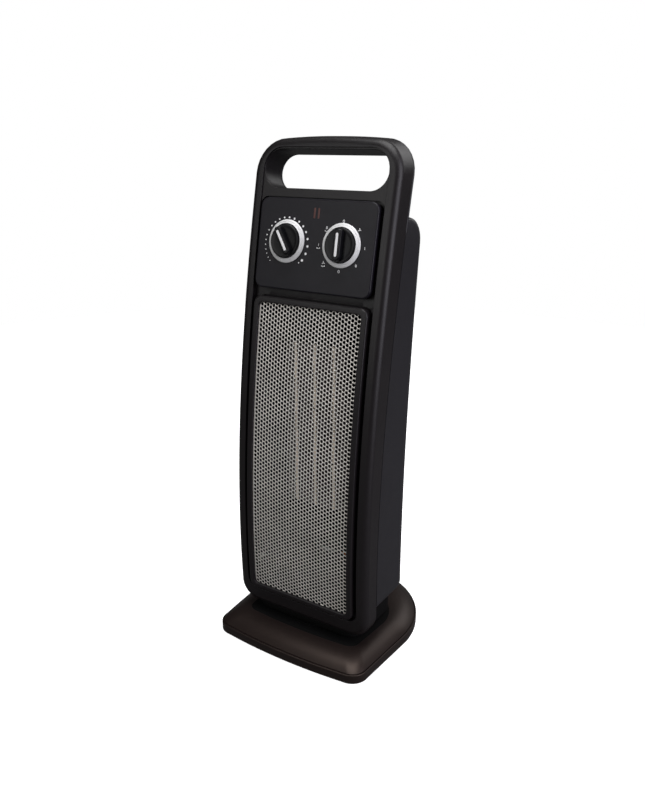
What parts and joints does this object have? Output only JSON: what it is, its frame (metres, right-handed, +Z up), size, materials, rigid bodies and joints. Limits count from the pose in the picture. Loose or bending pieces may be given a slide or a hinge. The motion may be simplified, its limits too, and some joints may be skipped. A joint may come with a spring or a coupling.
{
  "type": "ceramic tower fan heater",
  "caption": "Upright ceramic fan heater: bowed black tower with a carrying handle, rotary controls and a perforated outlet, swinging on a low base.",
  "frame": {"origin": "centre of the heater's bounding box in plan, on the floor under its feet", "axes": "+Z up the tower, -Y out of the front where the warm air leaves, +X to the right of someone facing that front"},
  "size_m": [0.184, 0.186, 0.4935],
  "materials": {
    "shell_black": "fine satin black moulding",
    "panel_black": "fine matt charcoal moulding",
    "base_brown": "semi-gloss brown-black moulding",
    "knob_black": "satin black moulding",
    "inner_black": "plain matt black moulding",
    "silver_trim": "satin silver plating",
    "sheet_steel": "perforated satin sheet",
    "steel": "plain steel",
    "zinc": "zinc plated",
    "aluminium": "bare strip",
    "ceramic": "unglazed pale ceramic",
    "copper": "enamelled copper winding",
    "rubber": "matt black rubber",
    "lens_red": "dark red translucent moulding",
    "lamp_glass": "clear glass",
    "nylon": "natural nylon"
  },
  "bodies": {
    "base": {"base_shell": "base_brown", "base_plate": "inner_black", "base_screw_1": "zinc", "base_screw_2": "zinc", "base_screw_3": "zinc", "base_screw_4": "zinc", "foot_1": "rubber", "foot_2": "rubber", "foot_3": "rubber", "foot_4": "rubber", "slide_ring": "inner_black", "swing_guide": "nylon", "tip_switch": "inner_black", "cord_gland": "rubber"},
    "tower": {"front_shell": "shell_black", "rear_housing": "shell_black", "housing_screw_1": "zinc", "housing_screw_2": "zinc", "housing_screw_3": "zinc", "housing_screw_4": "zinc", "grille_frame": "shell_black", "outlet_grille": "sheet_steel", "control_panel": "panel_black", "thermostat_ring": "silver_trim", "selector_ring": "silver_trim", "thermostat_unit": "inner_black", "selector_unit": "inner_black", "pilot_lens_left": "lens_red", "pilot_lens_right": "lens_red", "pilot_lamp_left": "lamp_glass", "pilot_lamp_right": "lamp_glass", "fin_pack_1": "aluminium", "fin_pack_2": "aluminium", "fin_pack_3": "aluminium", "fin_pack_4": "aluminium", "ceramic_bar_1": "ceramic", "ceramic_bar_2": "ceramic", "ceramic_bar_3": "ceramic", "heater_end_lower": "inner_black", "heater_end_upper": "inner_black", "thermal_cutout": "zinc", "fan_motor": "steel", "motor_coil": "copper", "motor_bracket": "zinc", "upper_bearing": "rubber", "duct_scroll": "zinc", "duct_tongue": "zinc", "terminal_block": "nylon", "neck": "inner_black", "retaining_ring": "zinc", "swing_motor": "zinc"},
    "blower": {"blower_wheel": "inner_black", "motor_rotor": "steel"},
    "crank": {"swing_crank": "nylon"},
    "thermostat_dial": {"thermostat_knob": "knob_black", "thermostat_shaft": "zinc"},
    "selector_dial": {"selector_knob": "knob_black", "selector_shaft": "zinc"},
    "plunger": {"tip_plunger": "nylon"}
  },
  "joints": [
    {"name": "tower_swing", "type": "hinge", "parent": "base", "child": "tower", "pos_m": [0, -0.014, 0.02], "axis": [0, 0, 1], "range_deg": [-35, 35]},
    {"name": "blower_spin", "type": "hinge", "parent": "tower", "child": "blower", "pos_m": [0, 0.002, 0.2], "axis": [0, 0, 1], "continuous": true},
    {"name": "crank_turn", "type": "hinge", "parent": "tower", "child": "crank", "pos_m": [0, 0.01, 0.0107], "axis": [0, 0, 1], "continuous": true},
    {"name": "thermostat_turn", "type": "hinge", "parent": "tower", "child": "thermostat_dial", "pos_m": [-0.0292, -0.03049, 0.40295], "axis": [0, -0.9817, 0.1905], "range_deg": [-168, 102]},
    {"name": "selector_turn", "type": "hinge", "parent": "tower", "child": "selector_dial", "pos_m": [0.0292, -0.03049, 0.40295], "axis": [0, -0.9817, 0.1905], "continuous": true},
    {"name": "tip_plunger_slide", "type": "slide", "parent": "base", "child": "plunger", "axis": [0, 0, -1], "range_m": [0, 0.004], "stiffness_N_per_m": 15, "springref_m": 0.004}
  ]
}
